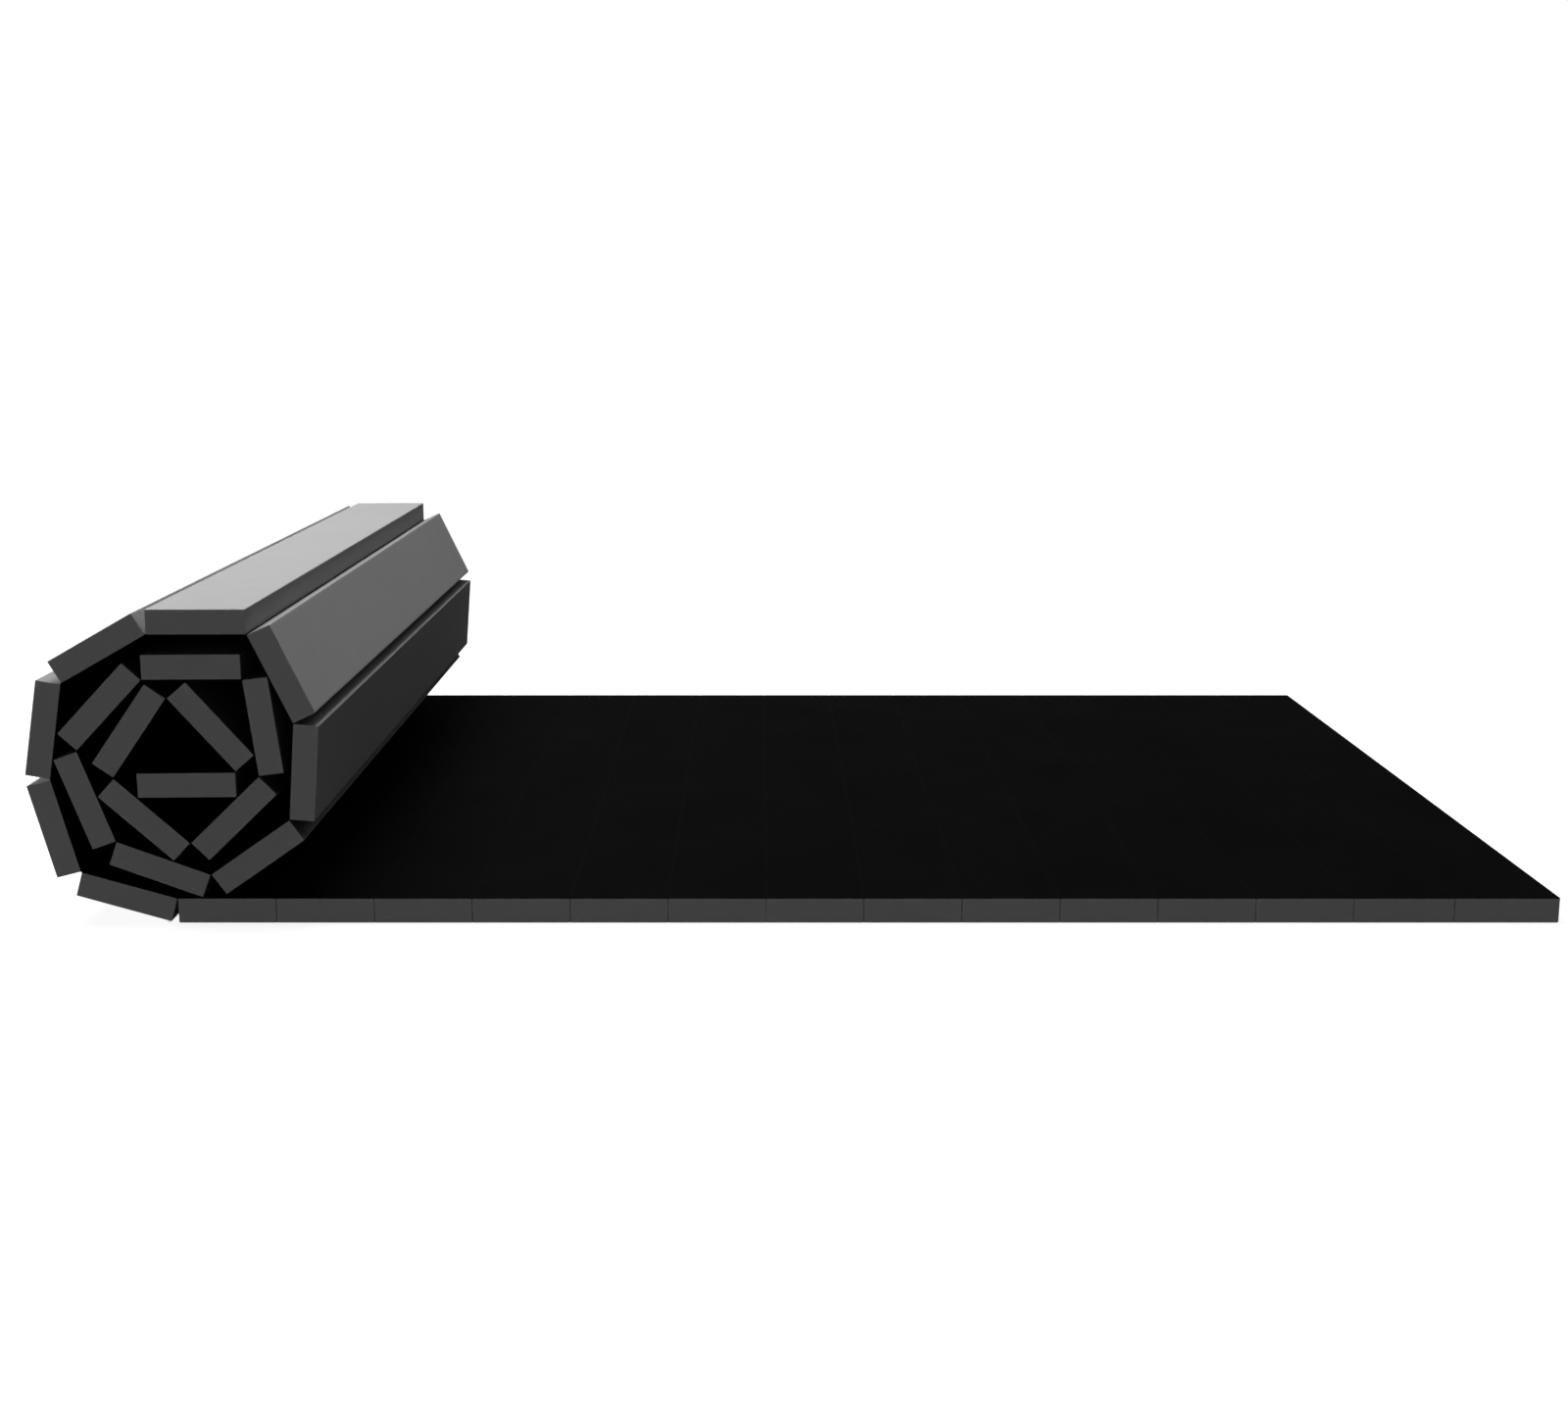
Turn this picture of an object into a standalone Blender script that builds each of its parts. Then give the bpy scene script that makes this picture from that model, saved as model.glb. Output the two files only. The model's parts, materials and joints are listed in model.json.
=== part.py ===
"""A slatted roll-out gym mat: foam slats bonded under one vinyl sheet, half laid flat and half rolled up.

The mat runs along X, with the roll at the low end and the free end at the high end.
The vinyl is the upper face of the flat run and the inner face of the roll.
At each slit the vinyl is the hinge, so every hinge line lies on the vinyl's upper face.
"""

from math import pi, radians

import bpy
from mathutils import Matrix, Vector

# Driving dimensions, in metres
MAT_WIDTH = 1.2192
SLAT_LENGTH = 0.13335
NEXT_TO_END_LENGTH = 0.1371
END_LENGTH = 0.1430
FOAM_THICKNESS = 0.0337
VINYL_THICKNESS = 0.0009
FOAM_EDGE_CHAMFER = 0.0008

# Clearances, in metres: foam to its vinyl, slat to slat, and layer to layer in the roll
BOND_GAP = 0.0003
SLIT_GAP = 0.0006
LAYER_GAP = 0.0004

# The flat run has its slats numbered from the roll to the free end, and the first ones are the base
FLAT_SLATS = 14
BASE_SLATS = 5

# How far the mat turns at each slit of the roll, in degrees, from the flat run in to the core
ROLL_BENDS = (16.1, 59.3, 24.3, 50.6, 29.6, 65.0, 29.6, 50.5, 55.3,
              49.7, 63.3, 46.4, 83.2, 53.1, 86.4, 82.5, 104.1, 130.5)

# A roll whose layers would touch opens evenly, in steps of this share of its bends
OPENING_STEP = 0.005

# Finishes: base colour, roughness
FOAM_FINISH = ((0.42, 0.42, 0.43, 1.0), 0.85)
VINYL_FINISH = ((0.006, 0.006, 0.007, 1.0), 0.5)

MAT_THICKNESS = FOAM_THICKNESS + BOND_GAP + VINYL_THICKNESS
FLAT_LENGTHS = [SLAT_LENGTH] * (FLAT_SLATS - 2) + [NEXT_TO_END_LENGTH, END_LENGTH]


def clear_scene():
    for old in list(bpy.data.objects):
        bpy.data.objects.remove(old, do_unlink=True)


# The roll's side view, as plane figures: the first hinge is the origin and the flat run goes along +X

def slat_outline(hinge, along, length):
    """The four corners of a slat that starts at a hinge; its vinyl face runs from corner 0 to corner 1."""
    outward = Vector((-along.y, along.x))
    first = hinge + along * (SLIT_GAP / 2)
    last = hinge + along * (length - SLIT_GAP / 2)
    return [first, last, last + outward * MAT_THICKNESS, first + outward * MAT_THICKNESS]


def roll_outlines(bends):
    """The slats of the roll, from the flat run in to the core."""
    hinge = Vector((0.0, 0.0))
    along = Vector((-1.0, 0.0))
    outlines = []
    for bend in bends:
        along = Matrix.Rotation(-radians(bend), 2) @ along
        outlines.append(slat_outline(hinge, along, SLAT_LENGTH))
        hinge = hinge + along * SLAT_LENGTH
    return outlines


def base_outlines():
    """The flat slats under the roll, which lie on the other side of the first hinge."""
    outlines = []
    for index in range(BASE_SLATS):
        far_end = Vector(((index + 1) * SLAT_LENGTH, 0.0))
        outlines.append(slat_outline(far_end, Vector((-1.0, 0.0)), SLAT_LENGTH))
    return outlines


def separation(one, other):
    """How far apart two outlines are, along the best of their own edge directions; negative if they overlap."""
    widest = -MAT_WIDTH
    for figure in (one, other):
        for side in (figure[1] - figure[0], figure[2] - figure[1]):
            normal = Vector((-side.y, side.x)).normalized()
            reach_one = [corner.dot(normal) for corner in one]
            reach_other = [corner.dot(normal) for corner in other]
            apart = max(min(reach_other) - max(reach_one), min(reach_one) - max(reach_other))
            widest = max(widest, apart)
    return widest


def least_layer_gap(bends):
    """The least room between any two slats of the roll, or of the roll and the base, that share no slit."""
    chain = base_outlines()[::-1] + roll_outlines(bends)
    gaps = []
    for index, outline in enumerate(chain):
        for later in chain[max(index + 2, BASE_SLATS):]:
            gaps.append(separation(outline, later))
    return min(gaps)


def wound_bends():
    """The roll's bends, opened evenly until every layer is clear of the others."""
    tightness = 1.0
    bends = list(ROLL_BENDS)
    while least_layer_gap(bends) < LAYER_GAP:
        tightness -= OPENING_STEP
        bends = [bend * tightness for bend in ROLL_BENDS]
    return bends


# Materials

def finish(name, colour, roughness):
    material = bpy.data.materials.new(name)
    material.use_nodes = True
    shader = material.node_tree.nodes["Principled BSDF"]
    shader.inputs["Base Color"].default_value = colour
    shader.inputs["Roughness"].default_value = roughness
    shader.inputs["Metallic"].default_value = 0.0
    return material


# Solids, each placed from its hinge: +X along the mat, +Z out of the vinyl

def slab(name, carrier, start, end, top, thickness, look):
    """A flat slab as wide as the mat, from start to end along its carrier's X, with its upper face at top."""
    low = Vector((start, -MAT_WIDTH / 2, top - thickness))
    high = Vector((end, MAT_WIDTH / 2, top))
    corners = [(x, y, z) for x in (low.x, high.x) for y in (low.y, high.y) for z in (low.z, high.z)]
    faces = [(0, 1, 3, 2), (4, 6, 7, 5), (0, 4, 5, 1), (2, 3, 7, 6), (0, 2, 6, 4), (1, 5, 7, 3)]
    mesh = bpy.data.meshes.new(name)
    mesh.from_pydata(corners, [], faces)
    piece = bpy.data.objects.new(name, mesh)
    bpy.context.scene.collection.objects.link(piece)
    mesh.materials.append(finish(name, *look))
    piece.parent = carrier
    return piece


def foam_slat(name, carrier, start, length):
    slat = slab(name, carrier, start + SLIT_GAP / 2, start + length - SLIT_GAP / 2,
                -VINYL_THICKNESS - BOND_GAP, FOAM_THICKNESS, FOAM_FINISH)
    chamfer = slat.modifiers.new("edge_chamfer", "BEVEL")
    chamfer.width = FOAM_EDGE_CHAMFER
    chamfer.segments = 1


def vinyl_panel(name, carrier, start, length):
    slab(name, carrier, start + SLIT_GAP / 2, start + length - SLIT_GAP / 2, 0.0, VINYL_THICKNESS, VINYL_FINISH)


def hinge_line(name, carrier, place, turn):
    """An empty on a hinge line; turning it about its own Y folds the rest of the mat."""
    hinge = bpy.data.objects.new(name, None)
    hinge.matrix_local = Matrix.Translation(place) @ turn
    hinge.parent = carrier
    bpy.context.scene.collection.objects.link(hinge)
    return hinge


def hinged_run(label, carrier, place, heading, numbers, lengths, bends):
    """Slats that follow each other, each hinged on the one before it."""
    turn = Matrix.Rotation(heading, 4, "Z")
    for number, length, bend in zip(numbers, lengths, bends):
        carrier = hinge_line(f"{label}_hinge_{number:02d}", carrier, place,
                             turn @ Matrix.Rotation(-radians(bend), 4, "Y"))
        foam_slat(f"{label}_slat_{number:02d}", carrier, 0.0, length)
        vinyl_panel(f"{label}_vinyl_{number:02d}", carrier, 0.0, length)
        place = Vector((length, 0.0, 0.0))
        turn = Matrix.Identity(4)


def build_mat():
    bends = wound_bends()
    flat_length = sum(FLAT_LENGTHS)
    roll_reach = -min(corner.x for outline in roll_outlines(bends) for corner in outline)
    first_hinge_x = (roll_reach - (flat_length - SLIT_GAP / 2)) / 2
    base = hinge_line("base", None, Vector((first_hinge_x, 0.0, MAT_THICKNESS)), Matrix.Identity(4))
    for index in range(BASE_SLATS):
        foam_slat(f"flat_slat_{index + 1:02d}", base, index * SLAT_LENGTH, SLAT_LENGTH)
    base_length = BASE_SLATS * SLAT_LENGTH
    vinyl_panel("flat_vinyl_base", base, 0.0, base_length)
    hinged_run("flat", base, Vector((base_length, 0.0, 0.0)), 0.0,
               range(BASE_SLATS + 1, FLAT_SLATS + 1), FLAT_LENGTHS[BASE_SLATS:],
               [0.0] * (FLAT_SLATS - BASE_SLATS))
    hinged_run("roll", base, Vector((0.0, 0.0, 0.0)), pi,
               range(1, len(bends) + 1), [SLAT_LENGTH] * len(bends), bends)


clear_scene()
build_mat()
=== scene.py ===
"""Looks of the slatted roll-out gym mat: soft-edged foam planks under one black vinyl sheet.

A place on the mat has three coordinates, the same before and after it is rolled: along the mat from the
first hinge to the free end, across it, and up out of the vinyl's upper face. The roll has negative lengths.
"""

import json
from dataclasses import dataclass
from math import cos, pi, radians, sin, tan

import bpy
from mathutils import Matrix, Vector, noise


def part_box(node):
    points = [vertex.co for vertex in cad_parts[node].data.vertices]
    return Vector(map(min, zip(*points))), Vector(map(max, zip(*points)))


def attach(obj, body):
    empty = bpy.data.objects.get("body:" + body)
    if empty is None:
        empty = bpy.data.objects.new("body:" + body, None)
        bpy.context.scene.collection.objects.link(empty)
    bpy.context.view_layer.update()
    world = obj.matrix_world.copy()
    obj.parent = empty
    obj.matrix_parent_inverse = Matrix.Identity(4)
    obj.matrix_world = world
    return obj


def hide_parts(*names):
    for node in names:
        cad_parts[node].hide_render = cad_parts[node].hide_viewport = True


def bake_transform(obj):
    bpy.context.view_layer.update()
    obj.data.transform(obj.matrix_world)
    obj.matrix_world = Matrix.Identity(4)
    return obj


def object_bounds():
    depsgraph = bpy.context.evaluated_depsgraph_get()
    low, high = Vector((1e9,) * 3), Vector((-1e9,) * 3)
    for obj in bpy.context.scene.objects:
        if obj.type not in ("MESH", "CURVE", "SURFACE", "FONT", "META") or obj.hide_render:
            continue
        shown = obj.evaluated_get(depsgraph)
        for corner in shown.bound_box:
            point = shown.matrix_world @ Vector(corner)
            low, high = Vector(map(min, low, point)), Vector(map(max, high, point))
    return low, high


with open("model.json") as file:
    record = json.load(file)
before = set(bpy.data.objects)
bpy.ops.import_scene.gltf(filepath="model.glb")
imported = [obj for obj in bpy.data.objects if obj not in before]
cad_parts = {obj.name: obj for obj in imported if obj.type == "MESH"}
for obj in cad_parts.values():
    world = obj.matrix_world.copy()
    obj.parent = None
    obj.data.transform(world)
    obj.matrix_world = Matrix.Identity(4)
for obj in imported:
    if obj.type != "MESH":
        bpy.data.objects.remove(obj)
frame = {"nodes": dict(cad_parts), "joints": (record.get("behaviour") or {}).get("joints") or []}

CAD_LOW, CAD_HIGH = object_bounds()


@dataclass(frozen=True)
class Grain:
    """A noise over places on the mat: its scale per metre, its fineness and its stretch of the places."""
    scale: float
    detail: float
    roughness: float = 0.55
    stretch: tuple = ()


@dataclass(frozen=True)
class Tint:
    """How a field stains a surface: over its span, from nothing up to a share of a shade."""
    span: tuple
    share: float
    shade: float


# Names and counts, as the frame has them
FLAT_SLATS = 14
BASE_SLATS = 5
ROLL_SLATS = 18
ACROSS = Vector((0.0, 1.0, 0.0))
UPWARD = Vector((0.0, 0.0, 1.0))

# Foam planks: sizes in metres, and the dimples' scale per metre
LONG_EDGE_RADIUS = 0.0013
BONDED_EDGE_RADIUS = 0.0003
END_EDGE_RADIUS = 0.0010
EDGE_BAND = 0.0030
BOND_LINE = 0.00005
DIMPLE_DEPTH = 0.00025
DIMPLE_SCALE = 14.0

# Vinyl sheet: sizes in metres, and the least angle in degrees at which an edge is sharp
FOLD_RADIUS = 0.0010
FOLD_REACH = 0.0032
SLIT_DIP = 0.00020
SLIT_DIP_REACH = 0.0050
LEAST_STEP = 0.0001
SHARP_ANGLE = 50.0

# Fineness of the meshes
ARC_STEPS = 4
PLANK_LENGTH_STEPS = 6
PLANK_DEPTH_STEPS = 2
PLANK_WIDTH_STEPS = 30
FOLD_STEPS = 8
SHEET_LENGTH_STEPS = 5
SHEET_WIDTH_STEPS = 24

# Foam finish: linear colours, shades as factors of them, and each relief's strength and depth in metres
FOAM_GREY = (0.42, 0.42, 0.42)
# The cut faces' factor is a painted shade on the planks' slit faces and end faces
FOAM_CUT_PAINTED_SHADE = (0.80, 0.80, 0.80)
FOAM_SHINE = 0.02
FOAM_ROUGHNESS = (0.79, 0.93)
FOAM_ROUGHNESS_SPAN = (0.2, 0.8)
MOTTLE = Grain(scale=28.0, detail=5.0)
MOTTLE_SPAN = (0.3, 0.7)
MOTTLE_SHADES = (0.975, 1.025)
DRIFT = Grain(scale=3.5, detail=2.0)
DRIFT_TINT = Tint(span=(0.3, 0.7), share=0.06, shade=0.6)
SPECK = Grain(scale=900.0, detail=2.0, roughness=0.7)
SPECK_TINT = Tint(span=(0.55, 0.8), share=0.14, shade=0.5)
SPECK_RELIEF = (0.12, 0.0002)
KNIFE = Grain(scale=1.0, detail=4.0, stretch=(14.0, 14.0, 1500.0))
KNIFE_TINT = Tint(span=(0.45, 0.75), share=0.10, shade=0.7)
KNIFE_RELIEF = (0.20, 0.0003)
RUB = Grain(scale=60.0, detail=4.0)
RUB_TINT = Tint(span=(0.4, 0.7), share=0.22, shade=1.5)
CELL_SCALE = 620.0
CELL_RELIEF = (0.22, 0.0003)

# Vinyl finish, in the same terms
VINYL_BLACK = (0.0045, 0.0045, 0.0045)
VINYL_SHINE = 0.0001
VINYL_ROUGHNESS = (0.35, 0.50)
VINYL_ROUGHNESS_SPAN = (0.3, 0.8)
CLOUD = Grain(scale=5.0, detail=4.0)
CLOUD_SPAN = (0.3, 0.7)
CLOUD_SHADES = (0.88, 1.12)
SCUFF = Grain(scale=1.0, detail=6.0, roughness=0.7, stretch=(9.0, 70.0, 1.0))
SCUFF_TINT = Tint(span=(0.58, 0.78), share=0.35, shade=1.7)
CREASE_TINT = Tint(span=(0.0, 1.0), share=0.25, shade=1.6)
PEBBLE_SCALE = 780.0
PEBBLE_SMOOTHNESS = 0.35
PEBBLE_RELIEF = (0.35, 0.0003)
FINE_GRAIN = Grain(scale=1600.0, detail=2.0)
FINE_RELIEF = (0.15, 0.0001)

# Camera, from the photograph: its place in metres, its downward tilt in degrees, and pixels of the frame
CAMERA_PLACE = (-0.0501, -2.8368, 0.8331)
CAMERA_TILT = 9.1204
FRAME_WIDTH = 1600
FRAME_CENTRE = (799.5, 728.0)
FOCAL_PIXELS = 1745.56
OPTICAL_AXIS_PIXEL = (775.07, 589.18)
SENSOR_WIDTH_MM = 36.0

# Light: a large softbox above the roll, a low one to its left, a weak one far before the mat, and a fill
# from overhead and behind
KEY_PLACE = (-1.81, 0.25, 4.36)
KEY_TURN = (-12.0, -10.0)
KEY_SIZE = (3.54, 1.6)
KEY_POWER = 181.0
SIDE_PLACE = (-7.0, 0.75, 1.4)
SIDE_TURN = (0.0, -79.0)
SIDE_SIZE = (1.0, 2.6)
SIDE_POWER = 265.0
FRONT_PLACE = (-0.85, -12.0, 0.27)
FRONT_TURN = (90.0, 0.0)
FRONT_SIZE = (0.5, 0.5)
FRONT_POWER = 173.0
FILL_OVERHEAD = 1.1
FILL_FOCUS = 3.0
FILL_EDGE = 0.10

# Floor: its sizes and reaches in metres, its shades as shares of white, and how open it is, from where a
# painted shade turns it black down in a slit to where it looks as it does elsewhere
FLOOR_HALF_SIZE = 9.0
FLOOR_DROP = 0.0003
FLOOR_BOUNCE = 0.03
FLOOR_GLOW = 0.88
FLOOR_SHADE = 0.40
SHADE_REACH = (1.6, 2.8)
CREVICE_REACH = 0.006
CREVICE_SAMPLES = 8
CREVICE_SHARES = (0.15, 0.40)


# Where each slat lies

@dataclass
class Slat:
    """A slat at rest: the middle of its vinyl's upper face, its directions, its sizes and its place."""
    node: str
    body: str
    middle: Vector
    along: Vector
    up: Vector
    length: float
    pitch: float
    place: float

    def point(self, step, width, height):
        return self.middle + self.along * step + ACROSS * width + self.up * height


def node_centre(node):
    low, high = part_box(node)
    return (low + high) / 2


def node_span(node, direction):
    reach = [vertex.co.dot(direction) for vertex in frame["nodes"][node].data.vertices]
    return max(reach) - min(reach)


def hinge_place(name):
    joint = next(joint for joint in frame["joints"] if joint["name"] == name)
    return Vector(joint["pos_m"])


FIRST_HINGE = hinge_place("unroll_01")
FIRST_ROLL_SLAT = hinge_place("unroll_02") - FIRST_HINGE
ROLL_PITCH = FIRST_ROLL_SLAT.length
SLIT_GAP = ROLL_PITCH - node_span("roll_slat_01", FIRST_ROLL_SLAT.normalized())
VINYL_THICKNESS = node_span("flat_vinyl_base", UPWARD)
MAT_THICKNESS = FIRST_HINGE.z
MAT_WIDTH = node_span("flat_vinyl_base", ACROSS)


def slat_at(node, vinyl, body, place=None):
    """A slat as the frame has it; a flat one has its place from its distance to the first hinge."""
    centre = node_centre(node)
    up = UPWARD if body == "base" else (node_centre(vinyl) - centre).normalized()
    along = ACROSS.cross(up)
    length = node_span(node, along)
    foam_half = node_span(node, up) / 2
    middle = centre + up * (MAT_THICKNESS - foam_half)
    if place is None:
        place = (middle - FIRST_HINGE).dot(along)
    return Slat(node, body, middle, along, up, length, length + SLIT_GAP, place)


def all_slats():
    """The flat run's slats and the roll's, each by number from the first hinge."""
    flat = {}
    for number in range(1, FLAT_SLATS + 1):
        body = "base" if number <= BASE_SLATS else f"flat_{number:02d}"
        flat[number] = slat_at(f"flat_slat_{number:02d}", f"flat_vinyl_{number:02d}", body)
    roll = {}
    for number in range(1, ROLL_SLATS + 1):
        roll[number] = slat_at(f"roll_slat_{number:02d}", f"roll_vinyl_{number:02d}", f"roll_{number:02d}",
                               -(number - 0.5) * ROLL_PITCH)
    return flat, roll


# Shader nodes

def new_material(name):
    material = bpy.data.materials.new(name)
    material.use_nodes = True
    return material, material.node_tree, material.node_tree.nodes["Principled BSDF"]


def add_node(tree, kind, inputs=None, **settings):
    """A node with these settings; inputs that are sockets are linked, and others are set."""
    node = tree.nodes.new(kind)
    for name, value in settings.items():
        setattr(node, name, value)
    for name, value in (inputs or {}).items():
        if isinstance(value, bpy.types.NodeSocket):
            tree.links.new(value, node.inputs[name])
        else:
            node.inputs[name].default_value = value
    return node


def mesh_field(tree, name, output="Fac"):
    return add_node(tree, "ShaderNodeAttribute", attribute_name=name).outputs[output]


def grain_field(tree, place, grain):
    """A grain's noise at each place, mostly between 0.3 and 0.7."""
    if grain.stretch:
        mapping = add_node(tree, "ShaderNodeMapping", {"Vector": place, "Scale": grain.stretch})
        place = mapping.outputs["Vector"]
    inputs = {"Vector": place, "Scale": grain.scale, "Detail": grain.detail, "Roughness": grain.roughness}
    return add_node(tree, "ShaderNodeTexNoise", inputs).outputs["Fac"]


def remap(tree, value, low, high, to_low, to_high):
    inputs = {"Value": value, "From Min": low, "From Max": high, "To Min": to_low, "To Max": to_high}
    return add_node(tree, "ShaderNodeMapRange", inputs).outputs["Result"]


def product(tree, one, other):
    return add_node(tree, "ShaderNodeMath", {0: one, 1: other}, operation="MULTIPLY").outputs["Value"]


def shade_of(colour, factor):
    return tuple(channel * factor for channel in colour)


def tinted(tree, factor, one, other, blend="MIX"):
    """Colour one changed towards the other by a factor; either colour may be a socket."""
    node = add_node(tree, "ShaderNodeMix", data_type="RGBA", blend_type=blend)
    tree.links.new(factor, node.inputs["Factor"])
    for name, colour in (("A", one), ("B", other)):
        socket = next(s for s in node.inputs if s.name == name and s.type == "RGBA")
        if isinstance(colour, bpy.types.NodeSocket):
            tree.links.new(colour, socket)
        else:
            socket.default_value = (*colour, 1.0)
    return next(s for s in node.outputs if s.type == "RGBA")


def mottled(tree, field, span, base, shades):
    """A base colour that goes from one shade of it to another as a field crosses a span."""
    darker, lighter = (shade_of(base, shade) for shade in shades)
    return tinted(tree, remap(tree, field, *span, 0.0, 1.0), darker, lighter)


def stain_share(tree, field, tint):
    return remap(tree, field, *tint.span, 0.0, tint.share)


def stained(tree, field, tint, colour, base):
    """A colour that a field turns towards a shade of the base colour."""
    return tinted(tree, stain_share(tree, field, tint), colour, shade_of(base, tint.shade))


def bump(tree, height, relief, under=None):
    strength, depth = relief
    inputs = {"Height": height, "Strength": strength, "Distance": depth}
    if under is not None:
        inputs["Normal"] = under
    return add_node(tree, "ShaderNodeBump", inputs).outputs["Normal"]


# Materials

def foam_material():
    """Closed-cell foam: fine cells, faint mottling, rubbed edges, and knife marks on cut faces that a
    painted shade darkens.
    """
    material, tree, shader = new_material("closed_cell_foam")
    place = mesh_field(tree, "mat_place", "Vector")
    cut = mesh_field(tree, "cut_face")
    mottle = grain_field(tree, place, MOTTLE)
    drift = grain_field(tree, place, DRIFT)
    speck = grain_field(tree, place, SPECK)
    knife = product(tree, cut, grain_field(tree, place, KNIFE))
    rub = product(tree, mesh_field(tree, "edge_wear"),
                  stain_share(tree, grain_field(tree, place, RUB), RUB_TINT))
    cells = add_node(tree, "ShaderNodeTexVoronoi", {"Vector": place, "Scale": CELL_SCALE},
                     feature="F1").outputs["Distance"]

    colour = mottled(tree, mottle, MOTTLE_SPAN, FOAM_GREY, MOTTLE_SHADES)
    colour = stained(tree, drift, DRIFT_TINT, colour, FOAM_GREY)
    colour = stained(tree, speck, SPECK_TINT, colour, FOAM_GREY)
    colour = stained(tree, knife, KNIFE_TINT, colour, FOAM_GREY)
    # Painted shade: the cut faces, which are the slit faces and the ends, are multiplied down to a share of
    # the foam grey
    colour = tinted(tree, cut, colour, FOAM_CUT_PAINTED_SHADE, blend="MULTIPLY")
    colour = tinted(tree, rub, colour, shade_of(FOAM_GREY, RUB_TINT.shade))
    tree.links.new(colour, shader.inputs["Base Color"])
    roughness = remap(tree, mottle, *FOAM_ROUGHNESS_SPAN, *FOAM_ROUGHNESS)
    tree.links.new(roughness, shader.inputs["Roughness"])
    relief = bump(tree, knife, KNIFE_RELIEF)
    relief = bump(tree, cells, CELL_RELIEF, relief)
    relief = bump(tree, speck, SPECK_RELIEF, relief)
    tree.links.new(relief, shader.inputs["Normal"])
    shader.inputs["Specular IOR Level"].default_value = FOAM_SHINE
    return material


def vinyl_material():
    """Black vinyl: a fine pebbled grain, faint scuffs and, over the slits, paler creases."""
    material, tree, shader = new_material("grained_vinyl")
    place = mesh_field(tree, "mat_place", "Vector")
    cloud = grain_field(tree, place, CLOUD)
    scuff = grain_field(tree, place, SCUFF)
    fine = grain_field(tree, place, FINE_GRAIN)
    pebbles = add_node(tree, "ShaderNodeTexVoronoi",
                       {"Vector": place, "Scale": PEBBLE_SCALE, "Smoothness": PEBBLE_SMOOTHNESS},
                       feature="SMOOTH_F1").outputs["Distance"]

    colour = mottled(tree, cloud, CLOUD_SPAN, VINYL_BLACK, CLOUD_SHADES)
    colour = stained(tree, scuff, SCUFF_TINT, colour, VINYL_BLACK)
    colour = stained(tree, mesh_field(tree, "crease"), CREASE_TINT, colour, VINYL_BLACK)
    tree.links.new(colour, shader.inputs["Base Color"])
    roughness = remap(tree, scuff, *VINYL_ROUGHNESS_SPAN, *VINYL_ROUGHNESS)
    tree.links.new(roughness, shader.inputs["Roughness"])
    relief = bump(tree, pebbles, PEBBLE_RELIEF)
    relief = bump(tree, fine, FINE_RELIEF, relief)
    tree.links.new(relief, shader.inputs["Normal"])
    shader.inputs["Specular IOR Level"].default_value = VINYL_SHINE
    return material


# Meshes

def make_piece(name, points, faces, material, fields):
    """A smooth-shaded piece; each of its fields has a value or a place for every point."""
    mesh = bpy.data.meshes.new(name)
    mesh.from_pydata(points, [], faces)
    mesh.validate()
    mesh.shade_smooth()
    for field, values in fields.items():
        if isinstance(values[0], float):
            mesh.attributes.new(field, "FLOAT", "POINT").data.foreach_set("value", values)
        else:
            flat_values = [number for value in values for number in value]
            mesh.attributes.new(field, "FLOAT_VECTOR", "POINT").data.foreach_set("vector", flat_values)
    mesh.materials.append(material)
    piece = bpy.data.objects.new(name, mesh)
    bpy.context.scene.collection.objects.link(piece)
    return piece


def even_steps(start, end, count):
    return [start + (end - start) * step / count for step in range(count + 1)]


def slit_dip(distance):
    """How far the vinyl sinks into a slit, at a distance along the mat from it."""
    return SLIT_DIP * (0.5 + 0.5 * cos(pi * min(distance / SLIT_DIP_REACH, 1.0)))


# Foam planks

def edge_radius(bonded, inset):
    """The radius of a long edge, which is sharper where the foam is bonded to the vinyl."""
    full = BONDED_EDGE_RADIUS if bonded else LONG_EDGE_RADIUS
    return max(full - inset, BONDED_EDGE_RADIUS)


def facing(turn):
    """The direction at a turn, in degrees, from the plank's length towards its height."""
    return Vector((cos(radians(turn)), sin(radians(turn))))


def plank_outline(half_length, bottom, top, inset):
    """The plank's section, drawn in by an inset: (step, height, outward step, outward height, wear)."""
    half = half_length - inset
    low, high = bottom + inset, top - inset
    corners = ((half, low, -90.0, PLANK_DEPTH_STEPS), (half, high, 0.0, PLANK_LENGTH_STEPS),
               (-half, high, 90.0, PLANK_DEPTH_STEPS), (-half, low, 180.0, PLANK_LENGTH_STEPS))
    outline = []
    for index, (step, height, turn, runs) in enumerate(corners):
        next_step, next_height = corners[(index + 1) % len(corners)][:2]
        bonded = height == high
        radius, next_radius = edge_radius(bonded, inset), edge_radius(next_height == high, inset)
        centre = Vector((step - radius if step > 0 else step + radius,
                         height - radius if bonded else height + radius))
        for angle in even_steps(turn, turn + 90.0, ARC_STEPS):
            outline.append((*(centre + facing(angle) * radius), *facing(angle), 0.0 if bonded else 1.0))
        face = facing(turn + 90.0)
        heading = Vector((-face.y, face.x))
        start = Vector(outline[-1][:2]) + heading * EDGE_BAND
        side = (Vector((next_step, next_height)) - Vector((step, height))).length
        run = side - radius - next_radius - 2 * EDGE_BAND
        for share in even_steps(0.0, 1.0, runs):
            outline.append((*(start + heading * run * share), *face, 0.0))
    return outline


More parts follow.
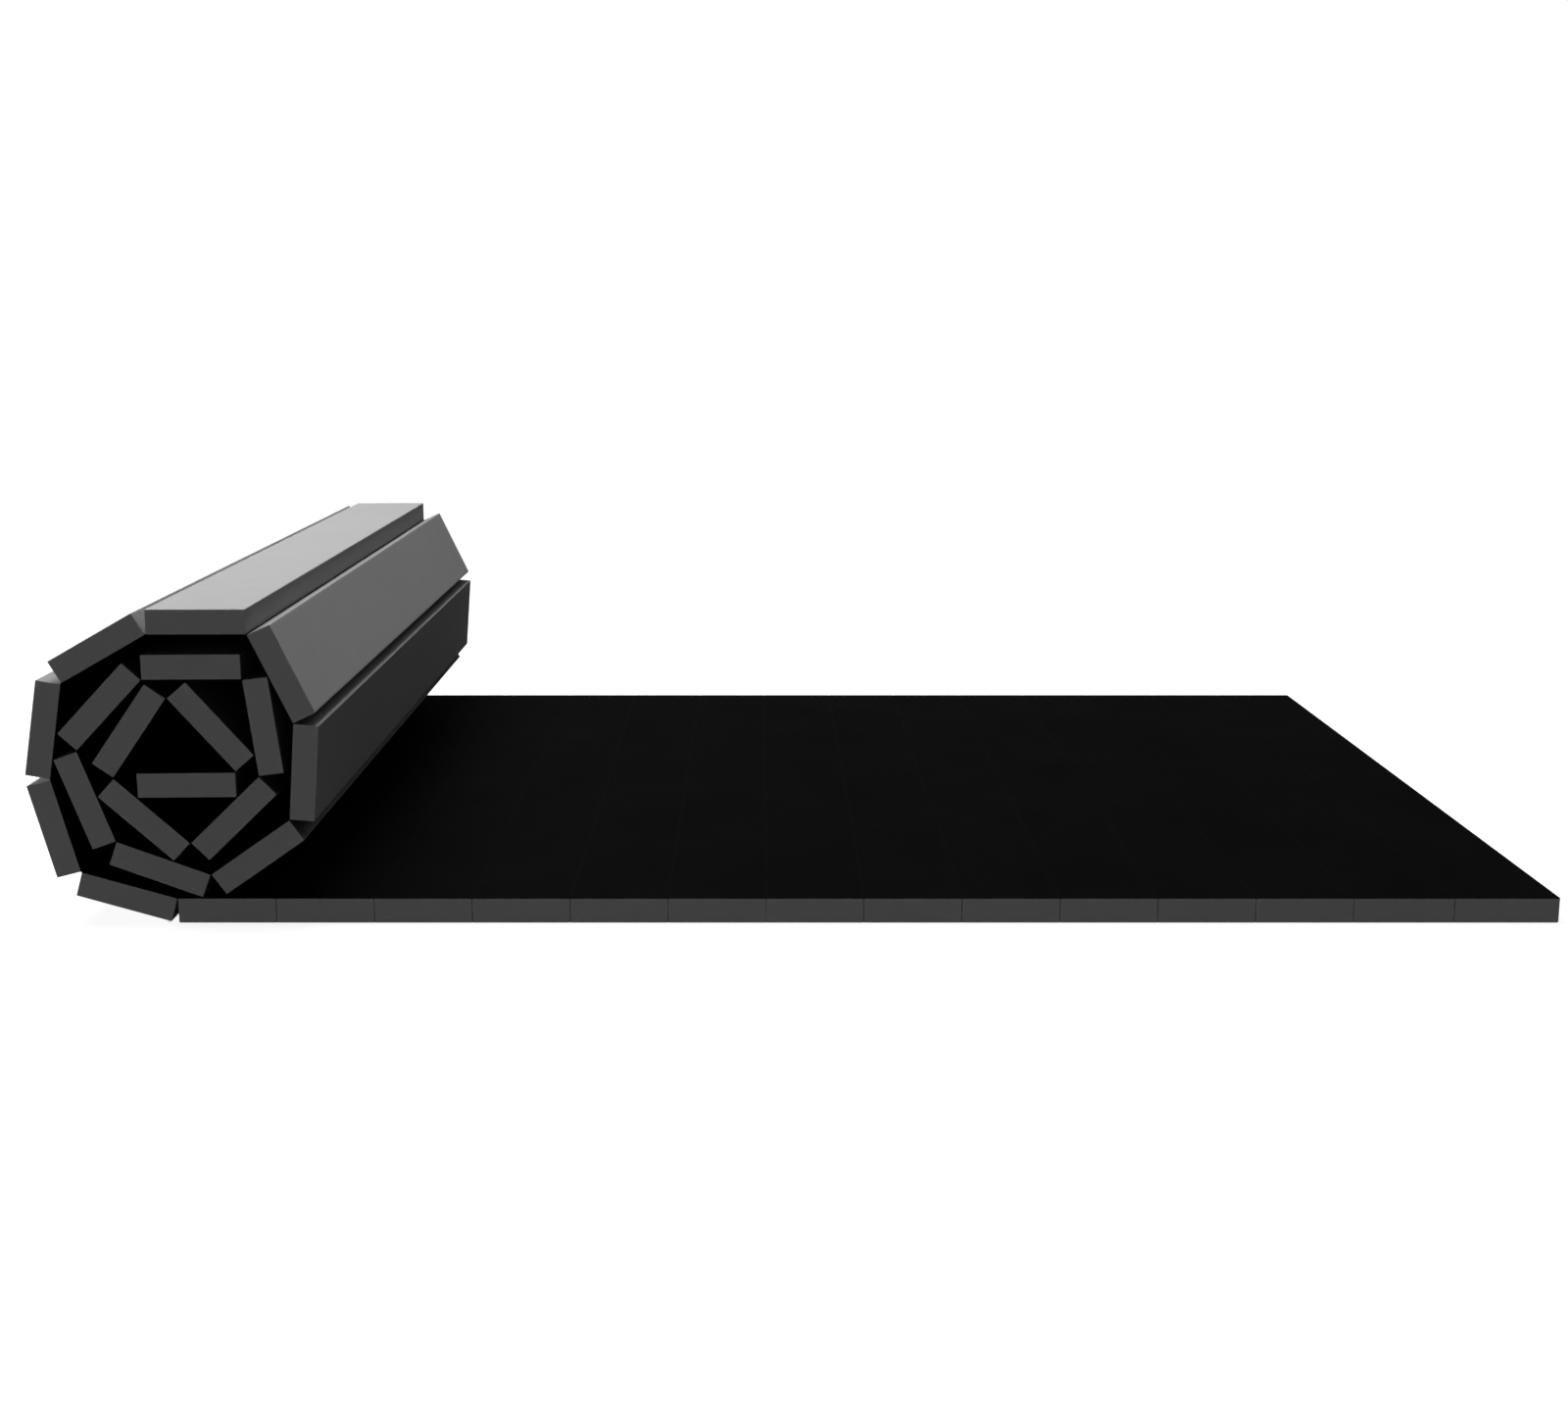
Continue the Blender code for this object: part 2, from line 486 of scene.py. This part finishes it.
def plank_rings(half_width):
    """Stations across the mat: (width, inset, wear), from the near end's face to the far end's face."""
    rings = [(0.0, END_EDGE_RADIUS + EDGE_BAND, 0.0)]
    for angle in even_steps(0.0, 90.0, ARC_STEPS):
        away = facing(angle)
        rings.append((END_EDGE_RADIUS * (1 - away.x), END_EDGE_RADIUS * (1 - away.y), 1.0))
    near = [(width - half_width, inset, wear) for width, inset, wear in rings]
    far = [(-width, inset, wear) for width, inset, wear in reversed(near)]
    inner = half_width - END_EDGE_RADIUS - EDGE_BAND
    return near + [(width, 0.0, 0.0) for width in even_steps(-inner, inner, PLANK_WIDTH_STEPS)] + far


def plank_faces(count, ring_count):
    """Quads between rings of points, and fans round the two end faces' middles, which follow the rings."""
    last = count * (ring_count - 1)
    near_middle, far_middle = last + count, last + count + 1
    faces = []
    for index in range(count):
        following = (index + 1) % count
        for ring in range(0, last, count):
            faces.append((ring + index, ring + count + index, ring + count + following, ring + following))
        faces.append((near_middle, index, following))
        faces.append((far_middle, last + following, last + index))
    return faces


def dimple(place):
    return DIMPLE_DEPTH * (0.5 + 0.5 * noise.noise(place * DIMPLE_SCALE))


def foam_plank(name, slat, material):
    """A plank with rounded edges, an uneven underside, and a top that dips with the vinyl by the slits."""
    bottom, top = -MAT_THICKNESS, -VINYL_THICKNESS - BOND_LINE
    rings = plank_rings(MAT_WIDTH / 2)
    points, places, edges, cuts = [], [], [], []
    for width, inset, ring_wear in rings:
        outline = plank_outline(slat.length / 2, bottom, top, inset)
        for step, height, out_step, out_height, wear in outline:
            place = Vector((slat.place + step, width, height))
            if inset == 0.0:
                height += max(-out_height, 0.0) * dimple(place)
            height -= max(out_height, 0.0) * slit_dip(slat.pitch / 2 - abs(step))
            points.append(slat.point(step, width, height))
            places.append(place)
            edges.append(max(wear, ring_wear))
            cuts.append(abs(out_step) if inset == 0.0 else 1.0)
    faces = plank_faces(len(points) // len(rings), len(rings))
    for width, _, _ in (rings[0], rings[-1]):
        points.append(slat.point(0.0, width, (bottom + top) / 2))
        places.append(Vector((slat.place, width, (bottom + top) / 2)))
        edges.append(0.0)
        cuts.append(1.0)
    piece = make_piece(name, points, faces, material,
                       {"mat_place": places, "edge_wear": edges, "cut_face": cuts})
    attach(piece, slat.body)
    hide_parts(slat.node)


# Vinyl sheet

@dataclass
class Station:
    """A line across the sheet: its middle on the upper face, the way out, its place and its crease."""
    point: Vector
    up: Vector
    place: float
    crease: float


def face_stations(slat, start, end):
    """Stations on a slat's vinyl, from one step to another along it, close together by its slits."""
    half = slat.pitch / 2
    marks = [0.0, *even_steps(-half + SLIT_DIP_REACH, half - SLIT_DIP_REACH, SHEET_LENGTH_STEPS)[1:-1]]
    for near in even_steps(0.0, SLIT_DIP_REACH, FOLD_STEPS):
        marks += [-half + near, half - near]
    steps = sorted(mark for mark in marks if start + LEAST_STEP < mark < end - LEAST_STEP)
    stations = []
    for step in [start, *steps, end]:
        dip = slit_dip(half - abs(step))
        stations.append(Station(slat.point(step, 0.0, -dip), slat.up, slat.place + step, dip / SLIT_DIP))
    return stations


def folded_stations(before, after):
    """Stations from one slat's middle to the next one's, round a small arc where the sheet folds."""
    bend = before.up.angle(after.up, 0.0)
    cut = FOLD_RADIUS * tan(bend / 2)
    half = before.pitch / 2
    if cut < LEAST_STEP:
        return face_stations(before, 0.0, half)[:-1] + face_stations(after, -after.pitch / 2, 0.0)
    sense = 1 if ACROSS.dot(before.up.cross(after.up)) > 0 else -1
    centre = before.point(half - cut, 0.0, FOLD_RADIUS)
    arc = []
    for share in even_steps(0.0, 1.0, FOLD_STEPS)[1:-1]:
        up = Matrix.Rotation(sense * bend * share, 3, ACROSS) @ before.up
        place = before.place + half + cut * (2 * share - 1)
        arc.append(Station(centre - up * FOLD_RADIUS, up, place, 1.0))
    return face_stations(before, 0.0, half - cut) + arc + face_stations(after, -after.pitch / 2 + cut, 0.0)


def sheet_faces(row, lines):
    """Faces of a closed strip, whose points are in lines of a row each: first the upper, then the lower."""
    layer = row * lines
    faces = []
    for line in range(lines - 1):
        for index in range(row - 1):
            corner = line * row + index
            below = layer + corner
            faces.append((corner, corner + row, corner + row + 1, corner + 1))
            faces.append((below, below + 1, below + row + 1, below + row))
    last = (lines - 1) * row
    for index in range(row - 1):
        faces.append((index, index + 1, layer + index + 1, layer + index))
        faces.append((last + index + 1, last + index, layer + last + index, layer + last + index + 1))
    for line in range(lines - 1):
        near, far = line * row, line * row + row - 1
        faces.append((near + row, near, layer + near, layer + near + row))
        faces.append((far, far + row, layer + far + row, layer + far))
    return faces


def sheet_piece(name, stations, material):
    """A strip of the sheet, as thick as the vinyl, through these stations, and its length laid flat."""
    widths = even_steps(-MAT_WIDTH / 2, MAT_WIDTH / 2, SHEET_WIDTH_STEPS)
    points, places, creases = [], [], []
    for depth in (0.0, VINYL_THICKNESS):
        for station in stations:
            for width in widths:
                points.append(station.point + ACROSS * width - station.up * depth)
                places.append(Vector((station.place, width, -depth)))
                creases.append(station.crease)
    piece = make_piece(name, points, sheet_faces(len(widths), len(stations)), material,
                       {"mat_place": places, "crease": creases})
    piece.data.set_sharp_from_angle(angle=radians(SHARP_ANGLE))
    return piece, stations[-1].place - stations[0].place


def hinged_strip(name, stations, material, node, hinge_slats):
    """A strip over a hinge, fixed where it lies at rest; hinge_slats has the parent body's slat first."""
    piece, length = sheet_piece(name, stations, material)
    before, after = hinge_slats
    ends = {before.body: before.point(before.pitch / 2 - FOLD_REACH, 0.0, 0.0),
            after.body: after.point(-after.pitch / 2 + FOLD_REACH, 0.0, 0.0)}
    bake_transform(piece)
    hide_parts(node)
    return piece, length


def base_strip(flat, vinyl):
    """The vinyl of the slats that never bend, from the middle of the first to the middle of the last."""
    first, last = flat[1], flat[BASE_SLATS]
    stations = face_stations(first, 0.0, first.pitch / 2)
    for number in range(2, BASE_SLATS):
        half = flat[number].pitch / 2
        stations = stations[:-1] + face_stations(flat[number], -half, half)
    stations = stations[:-1] + face_stations(last, -last.pitch / 2, 0.0)
    piece, length = sheet_piece("vinyl_base", stations, vinyl)
    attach(piece, "base")
    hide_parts("flat_vinyl_base")


def flat_strips(flat, vinyl):
    """The vinyl over the flat run's hinges; the last strip goes on to the free end."""
    for number in range(BASE_SLATS + 1, FLAT_SLATS + 1):
        before, after = flat[number - 1], flat[number]
        stations = folded_stations(before, after)
        if number == FLAT_SLATS:
            stations = stations[:-1] + face_stations(after, 0.0, after.length / 2)
        node = f"flat_vinyl_{number:02d}"
        piece, length = hinged_strip(f"vinyl_flat_{number:02d}", stations, vinyl, node,
                                     (before, after))


def roll_strips(flat, roll, vinyl):
    """The vinyl over the roll's hinges; the last strip goes on to the end in the core."""
    for number in range(1, ROLL_SLATS + 1):
        inner = roll[number]
        outer = roll[number - 1] if number > 1 else flat[1]
        stations = folded_stations(inner, outer)
        if number == ROLL_SLATS:
            stations = face_stations(inner, -inner.length / 2, 0.0)[:-1] + stations
        node = f"roll_vinyl_{number:02d}"
        piece, length = hinged_strip(f"vinyl_roll_{number:02d}", stations, vinyl, node,
                                     (inner, outer))


def build_mat():
    foam, vinyl = foam_material(), vinyl_material()
    flat, roll = all_slats()
    for run, slats in (("flat", flat), ("roll", roll)):
        for number, slat in slats.items():
            foam_plank(f"foam_{run}_{number:02d}", slat, foam)
    base_strip(flat, vinyl)
    flat_strips(flat, vinyl)
    roll_strips(flat, roll, vinyl)


# Studio

def grey(level):
    return (level, level, level, 1.0)


def seen_rays(tree):
    """1 for rays that see the background itself, directly, mirrored or through glass, otherwise 0."""
    rays = add_node(tree, "ShaderNodeLightPath").outputs
    seen = rays["Is Camera Ray"]
    for name in ("Is Glossy Ray", "Is Transmission Ray"):
        either = add_node(tree, "ShaderNodeMath", {0: seen, 1: rays[name]}, operation="MAXIMUM")
        seen = either.outputs["Value"]
    return seen


def mixed_shader(tree, factor, one, other):
    return add_node(tree, "ShaderNodeMixShader", {"Fac": factor, 1: one, 2: other}).outputs["Shader"]


def build_world():
    """White where it is seen, and otherwise a soft fill that is gathered overhead and behind the mat."""
    world = bpy.data.worlds.new("studio")
    world.use_nodes = True
    tree = world.node_tree
    tree.nodes.clear()
    direction = add_node(tree, "ShaderNodeTexCoord").outputs["Generated"]
    parts = add_node(tree, "ShaderNodeSeparateXYZ", {"Vector": direction}).outputs
    height = remap(tree, parts["Z"], 0.0, 1.0, 0.0, 1.0)
    gathered = add_node(tree, "ShaderNodeMath", {0: height, 1: FILL_FOCUS}, operation="POWER")
    overhead = remap(tree, gathered.outputs["Value"], 0.0, 1.0, 0.0, FILL_OVERHEAD)
    behind = remap(tree, parts["Y"], -FILL_EDGE, FILL_EDGE, 0.0, 1.0)
    fill = add_node(tree, "ShaderNodeBackground",
                    {"Color": grey(1.0), "Strength": product(tree, overhead, behind)})
    white = add_node(tree, "ShaderNodeBackground", {"Color": grey(1.0), "Strength": 1.0})
    shader = mixed_shader(tree, seen_rays(tree), fill.outputs["Background"], white.outputs["Background"])
    output = tree.nodes.new("ShaderNodeOutputWorld")
    tree.links.new(shader, output.inputs["Surface"])
    bpy.context.scene.world = world


def floor_material():
    """A pale floor that reads as white, keeps the mat's shadow close by, and has a painted shade, black,
    down in a slit.
    """
    material = bpy.data.materials.new("pale_floor")
    material.use_nodes = True
    tree = material.node_tree
    tree.nodes.clear()
    place = add_node(tree, "ShaderNodeTexCoord").outputs["Object"]
    distance = add_node(tree, "ShaderNodeVectorMath", {0: place}, operation="LENGTH").outputs["Value"]
    far = remap(tree, distance, *SHADE_REACH, 0.0, 1.0)
    glow = add_node(tree, "ShaderNodeEmission", {"Strength": FLOOR_GLOW}).outputs["Emission"]
    matte = add_node(tree, "ShaderNodeBsdfDiffuse", {"Color": grey(FLOOR_SHADE)}).outputs["BSDF"]
    shaded = add_node(tree, "ShaderNodeAddShader", {0: glow, 1: matte}).outputs["Shader"]
    white = add_node(tree, "ShaderNodeEmission", {"Strength": 1.0}).outputs["Emission"]
    bounce = add_node(tree, "ShaderNodeBsdfDiffuse", {"Color": grey(FLOOR_BOUNCE)}).outputs["BSDF"]
    # Painted shade: where the floor is shut in under a slit, it is turned black
    painted_crevice_shade = add_node(tree, "ShaderNodeBsdfDiffuse", {"Color": grey(0.0)}).outputs["BSDF"]
    nearby = add_node(tree, "ShaderNodeAmbientOcclusion", {"Distance": CREVICE_REACH},
                      samples=CREVICE_SAMPLES)
    open_share = remap(tree, nearby.outputs["AO"], *CREVICE_SHARES, 0.0, 1.0)
    seen = mixed_shader(tree, open_share, painted_crevice_shade, mixed_shader(tree, far, shaded, white))
    output = tree.nodes.new("ShaderNodeOutputMaterial")
    tree.links.new(mixed_shader(tree, seen_rays(tree), bounce, seen), output.inputs["Surface"])
    return material


def build_floor():
    reach = FLOOR_HALF_SIZE
    corners = [(-reach, -reach, 0.0), (reach, -reach, 0.0), (reach, reach, 0.0), (-reach, reach, 0.0)]
    mesh = bpy.data.meshes.new("floor")
    mesh.from_pydata(corners, [], [(0, 1, 2, 3)])
    mesh.materials.append(floor_material())
    floor = bpy.data.objects.new("floor", mesh)
    floor.location = (0.0, 0.0, CAD_LOW.z - FLOOR_DROP)
    bpy.context.scene.collection.objects.link(floor)


def softbox(name, place, turn, size, power):
    """A rectangular lamp; unturned it shines down, and its turns are about X and about Y, in degrees."""
    lamp = bpy.data.lights.new(name, "AREA")
    lamp.shape = "RECTANGLE"
    lamp.size, lamp.size_y = size
    lamp.energy = power
    box = bpy.data.objects.new(name, lamp)
    box.location = place
    box.rotation_euler = (radians(turn[0]), radians(turn[1]), 0.0)
    bpy.context.scene.collection.objects.link(box)


def build_light():
    softbox("key_softbox", KEY_PLACE, KEY_TURN, KEY_SIZE, KEY_POWER)
    softbox("side_softbox", SIDE_PLACE, SIDE_TURN, SIDE_SIZE, SIDE_POWER)
    softbox("front_softbox", FRONT_PLACE, FRONT_TURN, FRONT_SIZE, FRONT_POWER)


def build_camera():
    lens = bpy.data.cameras.new("photo_camera")
    lens.sensor_width = SENSOR_WIDTH_MM
    lens.lens = FOCAL_PIXELS / FRAME_WIDTH * SENSOR_WIDTH_MM
    lens.shift_x = (FRAME_CENTRE[0] - OPTICAL_AXIS_PIXEL[0]) / FRAME_WIDTH
    lens.shift_y = (OPTICAL_AXIS_PIXEL[1] - FRAME_CENTRE[1]) / FRAME_WIDTH
    camera = bpy.data.objects.new("photo_camera", lens)
    camera.location = CAMERA_PLACE
    camera.rotation_euler = (radians(90.0 - CAMERA_TILT), 0.0, 0.0)
    bpy.context.scene.collection.objects.link(camera)
    bpy.context.scene.camera = camera


build_mat()
build_world()
build_floor()
build_light()
build_camera()
bpy.context.scene.view_settings.view_transform = "Standard"
